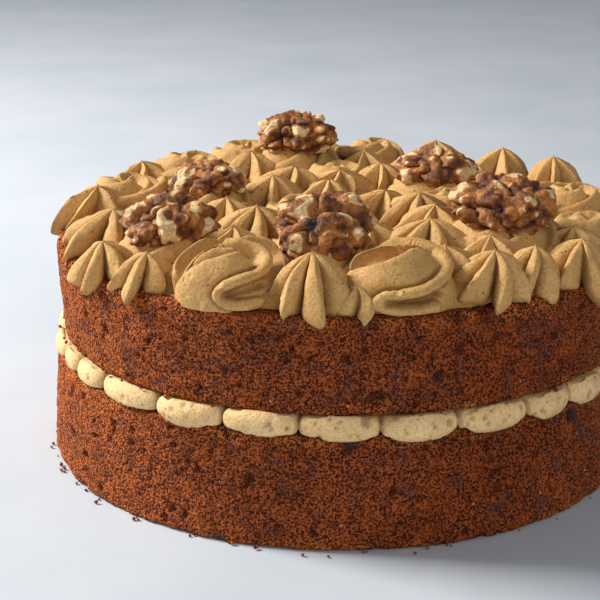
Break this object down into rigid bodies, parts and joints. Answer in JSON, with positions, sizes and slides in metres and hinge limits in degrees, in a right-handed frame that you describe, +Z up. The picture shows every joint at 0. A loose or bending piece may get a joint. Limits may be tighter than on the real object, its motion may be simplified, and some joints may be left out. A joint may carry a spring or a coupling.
{
  "type": "coffee naked cake",
  "caption": "Round two-layer coffee cake with bare sides, a piped buttercream filling, and a top of piped rosettes and stars with walnut halves.",
  "frame": {"origin": "centre of the cake's flat underside, on the surface that it stands on", "axes": "+Z up along the cake's axis, -Y towards the front as pictured"},
  "size_m": [0.2013, 0.2004, 0.1001],
  "materials": {
    "sponge_crumb_lower": "matt baked coffee sponge, lower layer",
    "filling_buttercream": "soft satin coffee buttercream between the layers",
    "sponge_crumb_upper": "matt baked coffee sponge, upper layer",
    "topping_buttercream": "soft satin coffee buttercream with coffee specks",
    "walnut_kernel": "dry walnut skin with bare pale patches"
  },
  "bodies": {
    "root": {"sponge_lower": "sponge_crumb_lower", "filling": "filling_buttercream", "sponge_upper": "sponge_crumb_upper", "topping": "topping_buttercream", "walnut_1": "walnut_kernel", "walnut_2": "walnut_kernel", "walnut_3": "walnut_kernel", "walnut_4": "walnut_kernel", "walnut_5": "walnut_kernel", "walnut_6": "walnut_kernel"}
  },
  "joints": []
}
